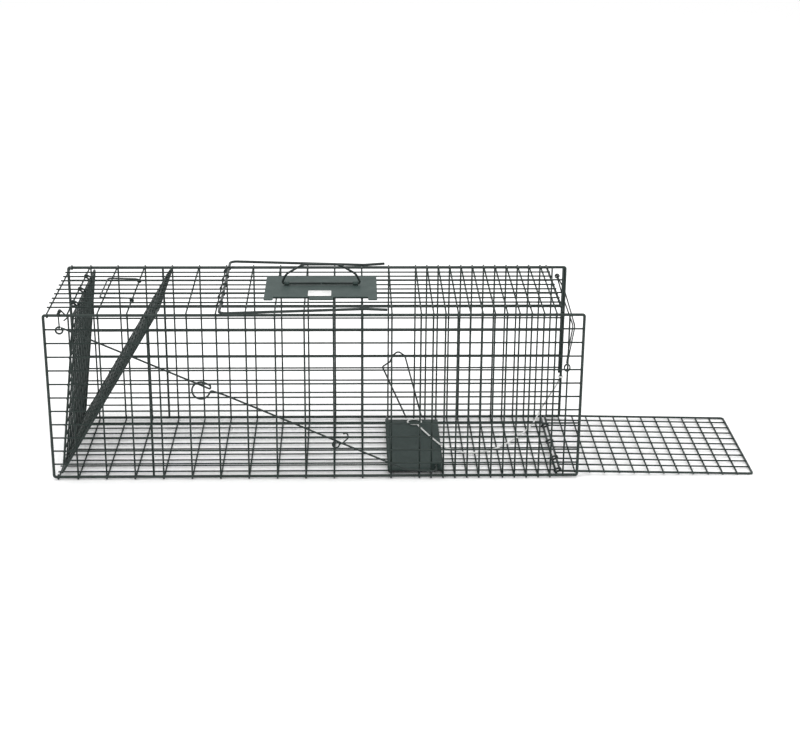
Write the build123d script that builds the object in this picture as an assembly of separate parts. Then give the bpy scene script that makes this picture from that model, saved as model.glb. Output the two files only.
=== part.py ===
from build123d import *
import math
import os

os.makedirs("parts", exist_ok=True)

# Live catch trap: a wire cage with a sloped gravity door, a lock gate, a treadle and a rear door.
# Lengths are in mm. Points are given from the cage's front near bottom corner, with +X towards
# the rear door, +Y away from the trigger side and +Z up. Each piece is then moved so that the
# origin is on the ground below the middle of the cage.

CAGE_LENGTH = 925.0
CAGE_WIDTH = 276.6
CAGE_HEIGHT = 300.7
FLOOR_LENGTH = 889.5
CELLS_HIGH = 12
CELLS_WIDE = 11
WIDE_PITCH = 50.2
FINE_PITCH = 21.15
WIDE_WIRES = 13
FINE_WIRES = 11
FIRST_WIRE = 42.0
FRONT_WIRE = 7.0

BORDER_R = 2.5
STIFFENER_X = 175.0
STIFFENER_R = 2.0
LATCH_POST_X = CAGE_LENGTH - 4.1
LATCH_POST_LOW_Z = 96.0
END_ROD_R = 2.0
WIRE_R = 1.25
PANEL_WIRE_R = 1.5
DOOR_ROD_R = 2.0
RING_WIRE_R = 0.9
RING_GAP = 0.35
WELD_GAP = 0.03
HINGE_CLEARANCE = 0.08
WIRE_STUB = 4.5

FLOOR_WIRE_Z = WIRE_R
FLOOR_LONG_Z = FLOOR_WIRE_Z + 2 * WIRE_R + WELD_GAP
FLOOR_TOP_Z = FLOOR_LONG_Z + WIRE_R
BOTTOM_ROD_Z = FLOOR_WIRE_Z + WIRE_R + BORDER_R + WELD_GAP
TOP_ROD_Z = BOTTOM_ROD_Z + CAGE_HEIGHT
TOP_WIRE_Z = TOP_ROD_Z + BORDER_R + WIRE_R + WELD_GAP
TOP_LONG_Z = TOP_WIRE_Z + 2 * WIRE_R + WELD_GAP
ROOF_Z = TOP_LONG_Z + WIRE_R
ROW_PITCH = CAGE_HEIGHT / CELLS_HIGH
LANE_PITCH = CAGE_WIDTH / CELLS_WIDE
ORIGIN = (CAGE_LENGTH / 2, CAGE_WIDTH / 2, 0.0)

# Doors
DOOR_GAP = 7.5
DOOR_LANES = 11
FRONT_DOOR_HINGE = (190.0, 303.9)
FRONT_DOOR_LENGTH = 344.0
FRONT_DOOR_SLOPE = 59.0
FRONT_DOOR_FIRST_ROW = 12.45
FRONT_DOOR_ROW_PITCH = 24.87
FRONT_DOOR_ROWS = 13
GATE_HINGE = (50.0, 303.9)
GATE_LENGTH = 281.0
GATE_SLOPE = 83.2
GATE_FIRST_ROW = 29.0
GATE_ROW_PITCH = 25.2
GATE_ROWS = 10
REAR_DOOR_HINGE = (895.8, 9.4)
REAR_DOOR_LENGTH = 346.0
REAR_DOOR_DROP = 1.12
REAR_DOOR_LANES = 10
REAR_DOOR_ROWS = 13
REAR_RING_LANES = (14.0, 68.0, 144.0, 221.0)

# Treadle
PEDAL_HINGE = (592.0, 8.5)
PEDAL_LENGTH = 98.0
PEDAL_NEAR_Y = 14.0
PEDAL_WIDTH = 236.0
PEDAL_SHEET = 1.5
PEDAL_AXLE_R = 2.0
PEDAL_BARREL_R = 3.3
PEDAL_EAR_HEIGHT = 13.0
PEDAL_EAR_LENGTH = 16.0
PEDAL_EAR_HOLE_R = 2.6

# Trigger rod and catch
ROD_R = 1.5
ROD_Y = -9.0
ROD_EYE = (27.5, 282.0)
ROD_EYE_R = 6.0
ROD_END = (674.7, 17.0)
ROD_KNEE = (619.0, 21.0)
CATCH_R = 1.1
CATCH_PIVOT = (27.0, 310.3)
CATCH_HOOK_Y = 16.0

# Handle and bails
PLATE_Z = ROOF_Z + 0.15
PLATE_SHEET = 1.5
PLATE_X = (372.0, 570.0)
PLATE_Y = (56.0, 192.0)
HANDLE_X = (401.0, 541.0)
HANDLE_Y = 138.3
HANDLE_R = 2.0
HANDLE_HEIGHT = 35.0
HANDLE_AXIS_Z = PLATE_Z + PLATE_SHEET + 3.6
LUG_LENGTH = 8.0
LUG_WALL = 1.3
TOP_BAIL_R = 2.4
TOP_BAIL_X = 300.0
TOP_BAIL_Z = ROOF_Z + TOP_BAIL_R + 0.15
FRONT_BAIL_R = 1.5
FRONT_BAIL_PIN_X = FIRST_WIRE + 2 * WIDE_PITCH
FRONT_BAIL_Y = (70.0, 180.5)

# Rear latch and cord
LATCH_R = 1.5
LATCH_Y = 283.4
LATCH_PIVOT = (911.0, 286.0)
CORD_R = 1.4
CORD_FLOOR_Z = FLOOR_TOP_Z + CORD_R + 0.1


def cross_wire_places():
    """X of each wire that runs across the cage: wide spacing in front, fine spacing behind."""
    wide = [FIRST_WIRE + WIDE_PITCH * k for k in range(WIDE_WIRES)]
    fine = [wide[-1] + FINE_PITCH * (k + 1) for k in range(FINE_WIRES)]
    return wide + fine


def rod(start, end, radius):
    """A straight round wire between two points."""
    along = Vector(*end) - Vector(*start)
    blank = Cylinder(radius, along.length, align=(Align.CENTER, Align.CENTER, Align.MIN))
    return Plane(origin=start, z_dir=along) * blank


def ring(centre, major, minor, axis=(0, 1, 0)):
    """A closed wire ring about an axis."""
    return Plane(origin=centre, z_dir=axis) * Torus(major, minor)


def bent_wire(points, bends, radius):
    """One wire along straight runs joined by tangent arcs."""
    path = FilletPolyline(*points, radius=bends)
    section = Plane(origin=path @ 0, z_dir=path % 0) * Circle(radius)
    return sweep(section, path=path)


def write(name, *solids):
    """Moves the solids to the part's origin and writes them as one node."""
    moved = [Pos(-ORIGIN[0], -ORIGIN[1], -ORIGIN[2]) * solid for solid in solids]
    shape = moved[0] if len(moved) == 1 else Compound(children=moved)
    export_step(shape, f"parts/{name}.step")


def upright(x, y, outward, low_z):
    """A stiffening rod on the inner face of a side wall, up to its top border rod."""
    inner_y = y - outward * (STIFFENER_R + WELD_GAP / 2)
    return rod((x, inner_y, low_z), (x, inner_y, TOP_ROD_Z - BORDER_R - WELD_GAP), STIFFENER_R)


def side_frame(y, outward):
    """Four border rods of one side wall, and the upright in front."""
    inset = BORDER_R + WELD_GAP
    return [
        upright(STIFFENER_X, y, outward, BOTTOM_ROD_Z + inset),
        rod((-BORDER_R, y, BOTTOM_ROD_Z), (CAGE_LENGTH + BORDER_R, y, BOTTOM_ROD_Z), BORDER_R),
        rod((-BORDER_R, y, TOP_ROD_Z), (CAGE_LENGTH + BORDER_R, y, TOP_ROD_Z), BORDER_R),
        rod((0, y, BOTTOM_ROD_Z + inset), (0, y, TOP_ROD_Z - inset), BORDER_R),
        rod((CAGE_LENGTH, y, BOTTOM_ROD_Z + inset), (CAGE_LENGTH, y, TOP_ROD_Z - inset), BORDER_R),
    ]


def side_mesh(y, outward):
    """The welded wires inside one side wall's border."""
    offset = PANEL_WIRE_R + WELD_GAP / 2
    inset = BORDER_R + WELD_GAP
    wires = []
    for k in range(1, CELLS_HIGH):
        z = BOTTOM_ROD_Z + ROW_PITCH * k
        wires.append(rod((inset, y + outward * offset, z),
                         (CAGE_LENGTH - inset, y + outward * offset, z), PANEL_WIRE_R))
    for x in cross_wire_places() + [FLOOR_LENGTH + FINE_PITCH / 2]:
        wires.append(rod((x, y - outward * offset, BOTTOM_ROD_Z + inset),
                         (x, y - outward * offset, TOP_ROD_Z - inset), PANEL_WIRE_R))
    return wires


def deck(cross_z, long_z, end_x):
    """The welded wires of the floor or the roof."""
    wires = []
    for x in [FRONT_WIRE] + cross_wire_places():
        wires.append(rod((x, -WIRE_STUB, cross_z), (x, CAGE_WIDTH + WIRE_STUB, cross_z), WIRE_R))
    for k in range(1, CELLS_WIDE):
        y = LANE_PITCH * k
        wires.append(rod((FRONT_WIRE - 4, y, long_z), (end_x, y, long_z), WIRE_R))
    return wires


class Leaf:
    """A flat welded door: distances along it from its hinge, across it, and out of its face."""

    def __init__(self, hinge, slope, direction):
        self.hinge = hinge
        self.along = (direction * math.cos(math.radians(slope)), -math.sin(math.radians(slope)))
        self.out = (-self.along[1], self.along[0])

    def point(self, along, y, out=0.0):
        x = self.hinge[0] + self.along[0] * along + self.out[0] * out
        z = self.hinge[1] + self.along[1] * along + self.out[1] * out
        return (x, y, z)

    def frame(self, length):
        low, high = DOOR_GAP, CAGE_WIDTH - DOOR_GAP
        inset = DOOR_ROD_R + WELD_GAP
        rods = []
        for distance in (0.0, length):
            rods.append(rod(self.point(distance, low - DOOR_ROD_R),
                            self.point(distance, high + DOOR_ROD_R), DOOR_ROD_R))
        for y in (low, high):
            rods.append(rod(self.point(inset, y), self.point(length - inset, y), DOOR_ROD_R))
        return rods

    def mesh(self, length, lanes, rows):
        low, high = DOOR_GAP, CAGE_WIDTH - DOOR_GAP
        inset = DOOR_ROD_R + WELD_GAP
        offset = PANEL_WIRE_R + WELD_GAP / 2
        wires = []
        for k in range(1, lanes):
            y = low + (high - low) * k / lanes
            wires.append(rod(self.point(inset, y, offset), self.point(length - inset, y, offset),
                             PANEL_WIRE_R))
        for distance in rows:
            wires.append(rod(self.point(distance, low + inset, -offset),
                             self.point(distance, high - inset, -offset), PANEL_WIRE_R))
        return wires


def hinge_rings(fixed, moving, moving_r, lanes):
    """Wire rings that tie a hinged rod to a fixed wire, one in each named lane."""
    gap = math.dist(fixed, moving)
    centre = ((fixed[0] + moving[0]) / 2, (fixed[1] + moving[1]) / 2)
    major = gap / 2 + moving_r + RING_WIRE_R + RING_GAP
    return [ring((centre[0], y, centre[1]), major, RING_WIRE_R) for y in lanes]


def handle_plate():
    """A sheet with a set-back near edge between its corners, and a small tab."""
    length = PLATE_X[1] - PLATE_X[0]
    width = PLATE_Y[1] - PLATE_Y[0]
    low = (Align.MIN, Align.MIN, Align.MIN)
    sheet = Pos(PLATE_X[0], PLATE_Y[0], PLATE_Z) * Box(length, width, PLATE_SHEET, align=low)
    notch = Pos(PLATE_X[0] + 16, PLATE_Y[0] - 1, PLATE_Z - 1) * Box(length - 32, 17, 5, align=low)
    tab = Pos(PLATE_X[0] + 79, PLATE_Y[0] + 1, PLATE_Z) * Box(42, 16, PLATE_SHEET, align=low)
    return sheet - notch + tab


def handle_lugs():
    """Two short tubes on the plate that carry the handle's feet."""
    lugs = []
    for x, side in ((HANDLE_X[0], 1), (HANDLE_X[1], -1)):
        outer = (x + side * 5.0, HANDLE_Y, HANDLE_AXIS_Z)
        inner = (x + side * (5.0 + LUG_LENGTH), HANDLE_Y, HANDLE_AXIS_Z)
        bore_r = HANDLE_R + HINGE_CLEARANCE
        lugs.append(rod(outer, inner, bore_r + LUG_WALL) - rod(outer, inner, bore_r))
    return lugs


def handle_bail():
    """An upright wire grip with its feet turned in along the plate, through the lugs."""
    left, right = HANDLE_X
    top = HANDLE_AXIS_Z + HANDLE_HEIGHT
    middle = (left + right) / 2
    points = [
        (middle - 4, HANDLE_Y, HANDLE_AXIS_Z),
        (left, HANDLE_Y, HANDLE_AXIS_Z),
        (left + 7, HANDLE_Y, HANDLE_AXIS_Z + 17),
        (left + 38, HANDLE_Y, top),
        (right - 38, HANDLE_Y, top),
        (right - 7, HANDLE_Y, HANDLE_AXIS_Z + 17),
        (right, HANDLE_Y, HANDLE_AXIS_Z),
        (middle + 4, HANDLE_Y, HANDLE_AXIS_Z),
    ]
    return bent_wire(points, [3, 14, 22, 22, 14, 3], HANDLE_R)


def top_bail():
    """A wide U that lies along the roof's edges: a bar, two arms and two flared tips."""
    far = CAGE_WIDTH
    inset = TOP_BAIL_R + 0.2
    bar_x = TOP_BAIL_X
    z = TOP_BAIL_Z
    pieces = [rod((bar_x, -21.9, z), (bar_x, far + 6.9, z), TOP_BAIL_R)]
    for corner_y, waist_y, tip_y in ((-19.5, 2.7, -2.0), (far + 4.5, far - 17.5, far - 9.5)):
        pieces.append(rod((bar_x + inset, corner_y, z), (548, waist_y, z), TOP_BAIL_R))
        pieces.append(rod((548.6, waist_y, z), (586, tip_y, z), TOP_BAIL_R))
    return pieces


def front_bail():
    """A small U hinged by two eyes on a roof wire."""
    eye_r = WIRE_R + HINGE_CLEARANCE + 1.2
    z = ROOF_Z + FRONT_BAIL_R + 0.15
    pin = FRONT_BAIL_PIN_X
    pieces = []
    for y in FRONT_BAIL_Y:
        pieces.append(ring((pin, y, TOP_WIRE_Z), eye_r, 1.2))
        pieces.append(rod((pin - 3.95, y, TOP_WIRE_Z + 2.6), (90, y, z), FRONT_BAIL_R))
    pieces.append(rod((87, FRONT_BAIL_Y[0] - 3, z), (87, FRONT_BAIL_Y[1] + 3, z), FRONT_BAIL_R))
    return pieces


def pedal_plate():
    """The treadle: a sheet rolled round its axle, with an ear for the trigger rod."""
    x, z = PEDAL_HINGE
    low = (Align.MIN, Align.MIN, Align.MIN)
    far = PEDAL_NEAR_Y + PEDAL_WIDTH
    sheet = Pos(x, PEDAL_NEAR_Y, z - PEDAL_SHEET / 2) * Box(PEDAL_LENGTH, PEDAL_WIDTH, PEDAL_SHEET, align=low)
    ear_x = ROD_END[0] - PEDAL_EAR_LENGTH / 2
    ear = Pos(ear_x, PEDAL_NEAR_Y, z) * Box(PEDAL_EAR_LENGTH, PEDAL_SHEET, PEDAL_EAR_HEIGHT, align=low)
    barrel = rod((x, PEDAL_NEAR_Y, z), (x, far, z), PEDAL_BARREL_R)
    bore = rod((x, PEDAL_NEAR_Y - 1, z), (x, far + 1, z), PEDAL_AXLE_R + HINGE_CLEARANCE)
    hole = rod((ROD_END[0], PEDAL_NEAR_Y - 1, ROD_END[1]),
               (ROD_END[0], PEDAL_NEAR_Y + 4, ROD_END[1]), PEDAL_EAR_HOLE_R)
    return sheet + ear + barrel - bore - hole


def trigger_rod():
    """The long rod on the near side, turned in at its rear end to reach the treadle's ear."""
    points = [
        (ROD_EYE[0] + 9.0, ROD_Y, ROD_EYE[1] + 2.5),
        (ROD_KNEE[0], ROD_Y, ROD_KNEE[1]),
        (ROD_END[0], ROD_Y, ROD_END[1]),
        (ROD_END[0], PEDAL_NEAR_Y + 6, ROD_END[1]),
    ]
    return bent_wire(points, [12, 5], ROD_R)


def catch():
    """One wire: a leg to the rod's eye, an axle over the border rod and a hook inside."""
    x, z = CATCH_PIVOT
    outer = ROD_Y + 5.2
    points = [
        (ROD_EYE[0], ROD_Y - 2.4, ROD_EYE[1] + 3.2),
        (ROD_EYE[0], outer - 1.6, ROD_EYE[1] + 3.2),
        (x, outer - 1.6, z),
        (x, CATCH_HOOK_Y, z),
        (x + 12.2, CATCH_HOOK_Y, z - 13.3),
        (x + 5.0, CATCH_HOOK_Y, z - 19.6),
    ]
    return bent_wire(points, [1.6, 1.8, 2.2, 2.2], CATCH_R)


def rear_latch():
    """A long bent wire that hangs from a pin on the far wall and ends at a ring."""
    x, z = LATCH_PIVOT
    eye_r = END_ROD_R + HINGE_CLEARANCE + LATCH_R
    points = [
        (x + 3.6, LATCH_Y, z - 3.3),
        (x + 14, LATCH_Y, z - 27),
        (x + 38, LATCH_Y, z - 100),
        (x + 29, LATCH_Y, z - 158),
        (x + 26, LATCH_Y, z - 174),
    ]
    return [ring((x, LATCH_Y, z), eye_r, LATCH_R), bent_wire(points, [20, 7, 20], LATCH_R)]


def bait_hook():
    """A wire that rises from the far side and bends over and down at its top."""
    y = CAGE_WIDTH - 8
    points = [(659, y, FLOOR_TOP_Z + 2), (626, y, 132.5), (613, y, 142.5), (603.5, y, 134.5), (597, y, 120)]
    return bent_wire(points, [6, 6, 6], ROD_R)


def bait_arm():
    """A wire beside it whose top bends over sharply to meet the bait hook's tip."""
    y = CAGE_WIDTH - 12
    points = [(629.5, y, FLOOR_TOP_Z + 2), (583, y, 112.5), (597, y, 122)]
    return bent_wire(points, [4], ROD_R)


def cord_points():
    """Route of the loose cord, from its knot on the far rear rod to the treadle's edge."""
    y = CAGE_WIDTH
    z = CORD_FLOOR_Z
    return [
        (925, y + 5.6, 84), (919, y + 6.2, 67), (909, y + 7.0, 51), (901, y + 7.6, 36),
        (891, y + 1.5, 22), (882, y - 13, 12), (871, y - 40, z), (855, 202, z), (828, 158, z),
        (793, 116, z), (757, 96, z), (724, 93, z + 1), (699, 106, 11.8),
    ]


def tail_points():
    """Route of the cord's tail, which lies on the treadle."""
    z = PEDAL_HINGE[1] + PEDAL_SHEET / 2 + CORD_R + 0.15
    return [(698.1, 106.9, 11.85), (689, 121, z), (678, 147, z), (665, 177, z), (649.6, 219.6, z)]


def cord_tube(points):
    """A plain tube whose arcs are as large as the runs allow; prints its radii and length."""
    radii = []
    for before, corner, after in zip(points, points[1:], points[2:]):
        first = Vector(*corner) - Vector(*before)
        second = Vector(*after) - Vector(*corner)
        turn = math.radians(first.get_angle(second))
        radii.append(0.45 * min(first.length, second.length) / math.tan(turn / 2))
    path = FilletPolyline(*points, radius=radii)
    section = Plane(origin=path @ 0, z_dir=path % 0) * Circle(CORD_R)
    tube = sweep(section, path=path)
    print("cord radii", [round(radius, 1) for radius in radii])
    print("cord length", round(path.length, 1), "volume ratio",
          round(tube.volume / (math.pi * CORD_R ** 2 * path.length), 4))
    return tube


def tail_loop():
    """The small tied loop at the end of the cord's tail."""
    z = PEDAL_HINGE[1] + PEDAL_SHEET / 2 + CORD_R + 0.15
    return ring((644, 234.5, z), 13.0, CORD_R, (0, 0, 1))


write("near_side_frame", *side_frame(0.0, -1))
write("near_side_mesh", *side_mesh(0.0, -1))
write("far_side_frame", *side_frame(CAGE_WIDTH, 1),
      upright(LATCH_POST_X, CAGE_WIDTH, 1, LATCH_POST_LOW_Z))
write("far_side_mesh", *side_mesh(CAGE_WIDTH, 1))
write("roof_mesh", *deck(TOP_WIRE_Z, TOP_LONG_Z, FLOOR_LENGTH + 1))
write("floor_mesh", *deck(FLOOR_WIRE_Z, FLOOR_LONG_Z, FLOOR_LENGTH + 1))
roof_end_z = TOP_LONG_Z - WIRE_R - END_ROD_R - WELD_GAP
floor_end_z = FLOOR_TOP_Z + END_ROD_R + WELD_GAP
write("roof_rear_rod", rod((FLOOR_LENGTH - 1, 3, roof_end_z), (FLOOR_LENGTH - 1, CAGE_WIDTH - 3, roof_end_z),
                           END_ROD_R))
write("floor_rear_rod", rod((FLOOR_LENGTH - 1, 3, floor_end_z), (FLOOR_LENGTH - 1, CAGE_WIDTH - 3, floor_end_z),
                            END_ROD_R))

front_door = Leaf(FRONT_DOOR_HINGE, FRONT_DOOR_SLOPE, -1)
front_rows = [FRONT_DOOR_FIRST_ROW + FRONT_DOOR_ROW_PITCH * k for k in range(FRONT_DOOR_ROWS)]
write("front_door_frame", *front_door.frame(FRONT_DOOR_LENGTH))
write("front_door_mesh", *front_door.mesh(FRONT_DOOR_LENGTH, DOOR_LANES, front_rows))

gate = Leaf(GATE_HINGE, GATE_SLOPE, -1)
gate_rows = [GATE_FIRST_ROW + GATE_ROW_PITCH * k for k in range(GATE_ROWS)]
write("lock_gate_frame", *gate.frame(GATE_LENGTH))
write("lock_gate_mesh", *gate.mesh(GATE_LENGTH, DOOR_LANES, gate_rows))

rear_door = Leaf(REAR_DOOR_HINGE, REAR_DOOR_DROP, 1)
rear_pitch = REAR_DOOR_LENGTH / REAR_DOOR_ROWS
rear_rows = [rear_pitch * k for k in range(1, REAR_DOOR_ROWS)]
write("rear_door_frame", *rear_door.frame(REAR_DOOR_LENGTH))
write("rear_door_mesh", *rear_door.mesh(REAR_DOOR_LENGTH, REAR_DOOR_LANES, rear_rows))

mid_lanes = [LANE_PITCH * (k + 0.5) for k in range(CELLS_WIDE)]
door_wire = (FIRST_WIRE + 3 * WIDE_PITCH, TOP_WIRE_Z)
write("front_door_rings", *hinge_rings(door_wire, FRONT_DOOR_HINGE, DOOR_ROD_R, mid_lanes[1:10]))
write("lock_gate_rings", *hinge_rings((FIRST_WIRE, TOP_WIRE_Z), GATE_HINGE, DOOR_ROD_R, mid_lanes[2:9:3]))
bail_wire = (FIRST_WIRE + 5 * WIDE_PITCH, TOP_WIRE_Z)
write("top_bail_rings", *hinge_rings(bail_wire, (TOP_BAIL_X, TOP_BAIL_Z), TOP_BAIL_R, mid_lanes[1:10:2]))
rear_hinge_rod = (FLOOR_LENGTH - 1, floor_end_z)
write("rear_door_rings", *hinge_rings(rear_hinge_rod, REAR_DOOR_HINGE, DOOR_ROD_R, REAR_RING_LANES))

write("handle_plate", handle_plate())
write("handle_lugs", *handle_lugs())
write("handle_bail", handle_bail())
label_z = PLATE_Z + PLATE_SHEET
write("handle_label", Pos(469, 92, label_z + 0.2) * Box(41, 30, 0.3))
write("top_bail", *top_bail())
write("front_bail", *front_bail())

write("pedal_plate", pedal_plate())
write("pedal_axle", rod((PEDAL_HINGE[0], 8, PEDAL_HINGE[1]), (PEDAL_HINGE[0], CAGE_WIDTH - 8, PEDAL_HINGE[1]),
                        PEDAL_AXLE_R))
write("trigger_rod", trigger_rod())
write("trigger_rod_eye", ring((ROD_EYE[0], ROD_Y, ROD_EYE[1]), ROD_EYE_R, ROD_R))
loop_y = ROD_Y - 3.2
write("trigger_finger_loop", ring((264.5, loop_y, 172.5), 15.5, ROD_R))
hook_points = [(505.5, loop_y, 72.5), (519.5, loop_y, 84), (515.5, loop_y, 93), (509.5, loop_y, 90.5)]
write("trigger_small_loop", ring((497, loop_y, 70.5), 6.5, ROD_R), bent_wire(hook_points, [3, 3], ROD_R))
write("catch", catch())
eyelet_r = CATCH_R + HINGE_CLEARANCE + 0.8
write("catch_eyelets", *[ring((CATCH_PIVOT[0], y, CATCH_PIVOT[1]), eyelet_r, 0.8) for y in (-3.5, 3.5)])

write("latch_pin", rod((LATCH_PIVOT[0], CAGE_WIDTH + 2.6, LATCH_PIVOT[1]),
                       (LATCH_PIVOT[0], LATCH_Y + 4, LATCH_PIVOT[1]), END_ROD_R))
write("rear_latch", *rear_latch())
write("latch_ring", ring((LATCH_PIVOT[0] + 27, LATCH_Y, LATCH_PIVOT[1] - 184.3), 6.8, 1.4))

write("bait_hook", bait_hook())
write("bait_arm", bait_arm())
write("cord", cord_tube(cord_points()))
write("cord_tail", cord_tube(tail_points()))
write("cord_tail_loop", tail_loop())
write("cord_knot", ring((CAGE_LENGTH, CAGE_WIDTH, 87), BORDER_R + CORD_R + 0.1, CORD_R, (0, 0, 1)))
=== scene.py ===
import math

import bmesh
import bpy
from mathutils import Matrix, Quaternion, Vector


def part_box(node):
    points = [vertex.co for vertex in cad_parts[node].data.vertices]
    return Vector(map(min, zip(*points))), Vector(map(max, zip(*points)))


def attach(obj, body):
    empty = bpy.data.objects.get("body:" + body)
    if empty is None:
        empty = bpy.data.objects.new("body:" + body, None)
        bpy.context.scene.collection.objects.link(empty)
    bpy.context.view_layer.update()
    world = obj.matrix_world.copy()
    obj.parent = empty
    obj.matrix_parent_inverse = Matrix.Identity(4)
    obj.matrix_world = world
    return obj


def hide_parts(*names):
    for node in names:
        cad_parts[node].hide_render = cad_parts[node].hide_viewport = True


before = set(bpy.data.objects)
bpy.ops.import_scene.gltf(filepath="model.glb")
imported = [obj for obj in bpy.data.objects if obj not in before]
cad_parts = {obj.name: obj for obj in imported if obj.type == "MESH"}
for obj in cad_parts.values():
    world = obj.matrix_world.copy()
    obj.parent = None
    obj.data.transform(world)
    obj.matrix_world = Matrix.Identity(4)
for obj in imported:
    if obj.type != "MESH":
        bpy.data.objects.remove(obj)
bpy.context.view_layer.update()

MM = 0.001
X, Y, Z = Vector((1, 0, 0)), Vector((0, 1, 0)), Vector((0, 0, 1))

# Radii of the wires, in metres.
BORDER_R = 2.5 * MM
END_ROD_R = 2.0 * MM
WIRE_R = 1.4 * MM
PANEL_R = 1.5 * MM
DOOR_ROD_R = 2.0 * MM
RING_R = 0.9 * MM
CORD_R = 1.4 * MM
STIFFENER_R = 2.0 * MM
ROD_R = 1.6 * MM
HOOK_R = 1.3 * MM
BAIT_R = 1.5 * MM
TOP_BAIL_R = 2.4 * MM
GRIP_R = 1.98 * MM
AXLE_R = 1.88 * MM
CATCH_R = 1.2 * MM
LATCH_R = 1.25 * MM

# Welded wires sink into each other: their centres are this share of a radius from the weld,
# and a bead of this share of a radius covers the crossing.
SINK = 0.92
BEAD = 1.12

# The cage, in metres, in the frame's own axes. Places come from the CAD nodes' boxes.
ROWS = 12
LANES = 11
NEAR_LOW, NEAR_HIGH = (Vector(corner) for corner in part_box("near_side_frame"))
FAR_LOW = Vector(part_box("far_side_frame")[0])
FRONT_X = NEAR_LOW.x + BORDER_R
REAR_X = NEAR_HIGH.x - BORDER_R
NEAR_Y = NEAR_LOW.y + BORDER_R
FAR_Y = FAR_LOW.y + BORDER_R
BOTTOM_Z = NEAR_LOW.z + BORDER_R
TOP_Z = NEAR_HIGH.z - BORDER_R
WIDTH = FAR_Y - NEAR_Y
ROW_PITCH = (TOP_Z - BOTTOM_Z) / ROWS
LANE_PITCH = WIDTH / LANES
DECK_REAR_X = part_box("roof_mesh")[1][0]
CROSS_X = [FRONT_X + 42 * MM + 50.2 * MM * k for k in range(13)]
CROSS_X += [CROSS_X[-1] + 21.15 * MM * (k + 1) for k in range(11)]
DECK_X = [FRONT_X + 7 * MM] + CROSS_X
STIFFENER_X = FRONT_X + 175 * MM
LATCH_POST_X = REAR_X - 4.1 * MM
LATCH_POST_LOW_Z = 96 * MM

# The places below are in mm from the cage's front near bottom corner, as at() takes them.
# A place of two values is given as X and Z, and holds along the whole width.
W = WIDTH / MM
FLOOR_WIRE_Z = 1.4
FLOOR_LONG_Z = 3.78
FLOOR_TOP_Z = 5.03
ROOF_WIRE_Z = 309.51
ROOF_LONG_Z = 312.04
FRONT_HINGE, FRONT_SLOPE, FRONT_LENGTH = (190.0, 303.9), 59.0, 344.0
GATE_HINGE, GATE_SLOPE, GATE_LENGTH = (50.0, 303.9), 83.2, 281.0
REAR_HINGE, REAR_SLOPE, REAR_LENGTH = (895.8, 9.4), 1.12, 346.0
REAR_HINGE_ROD = (888.5, 7.06)
REAR_HINGE_LANES = (14.0, 68.0, 144.0, 221.0)
TOP_BAIL_BAR = (300.0, 315.84)
FRONT_BAIL_PIN_X = 142.4
FRONT_BAIL_Z = 314.94
FRONT_BAIL_LANES = (70.0, 180.5)
PLATE_LOW_Z = 313.44
PLATE_TOP_Z = 314.94
GRIP_Y = 138.3
GRIP_AXIS_Z = 318.54
SLEEVE_X = (410.0, 532.0)
SLEEVE_HALF = 4.0
TREADLE_HINGE = (592.0, 8.5)
TREADLE_Y = (14.0, 250.0)
TREADLE_HALF = 0.75
ROLL_REACH = 2.75
ROD_Y = -9.0
ROD_EYE = (27.5, 282.0)
ROD_START = (36.5, 284.5)
ROD_KNEE = (619.0, 21.0)
ROD_END = (674.7, 17.0)
FINGER_LOOP = (264.5, 172.5)
SMALL_LOOP = (497.0, 70.5)
CATCH_PIVOT = (27.0, 310.3)
LATCH_Y = 283.4
LATCH_PIVOT = (911.0, 286.0)
BAIT_FOOT_Z = 7.1
CORD_Z = FLOOR_TOP_Z + 1.5
TAIL_Z = TREADLE_HINGE[1] + TREADLE_HALF + CORD_R / MM + 0.15


def at(x, y, z):
    """A point given in mm from the cage's front near bottom corner."""
    return Vector((FRONT_X + x * MM, NEAR_Y + y * MM, z * MM))


# ---------------------------------------------------------------- camera, light and floor

CAMERA_AT = (525.9, -2718.0, 1232.7)
CAMERA_PAN = 0.03046
CAMERA_TILT = 0.36399
CAMERA_ROLL = 0.00821
LENS_MM = 75.5


def make_camera():
    """The photo's viewpoint, placed from the cage's front near bottom corner in mm."""
    data = bpy.data.cameras.new("camera")
    data.lens = LENS_MM
    data.sensor_width = 36.0
    camera = bpy.data.objects.new("camera", data)
    level = math.cos(CAMERA_TILT)
    ahead = Vector((math.sin(CAMERA_PAN) * level, math.cos(CAMERA_PAN) * level,
                    -math.sin(CAMERA_TILT)))
    right = Vector((math.cos(CAMERA_PAN), -math.sin(CAMERA_PAN), 0.0))
    up = right.cross(ahead)
    rolled_right = right * math.cos(CAMERA_ROLL) + up * math.sin(CAMERA_ROLL)
    rolled_up = up * math.cos(CAMERA_ROLL) - right * math.sin(CAMERA_ROLL)
    turn = Matrix((rolled_right, rolled_up, -ahead)).transposed().to_4x4()
    camera.matrix_world = Matrix.Translation(at(*CAMERA_AT)) @ turn
    bpy.context.collection.objects.link(camera)
    bpy.context.scene.camera = camera


def make_light(name, place, aim, size, watts):
    """A square soft light that faces the aim point."""
    data = bpy.data.lights.new(name, "AREA")
    data.shape = "SQUARE"
    data.size = size
    data.energy = watts
    lamp = bpy.data.objects.new(name, data)
    lamp.location = place
    lamp.rotation_euler = (Vector(aim) - Vector(place)).to_track_quat("-Z", "Y").to_euler()
    bpy.context.collection.objects.link(lamp)


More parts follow.
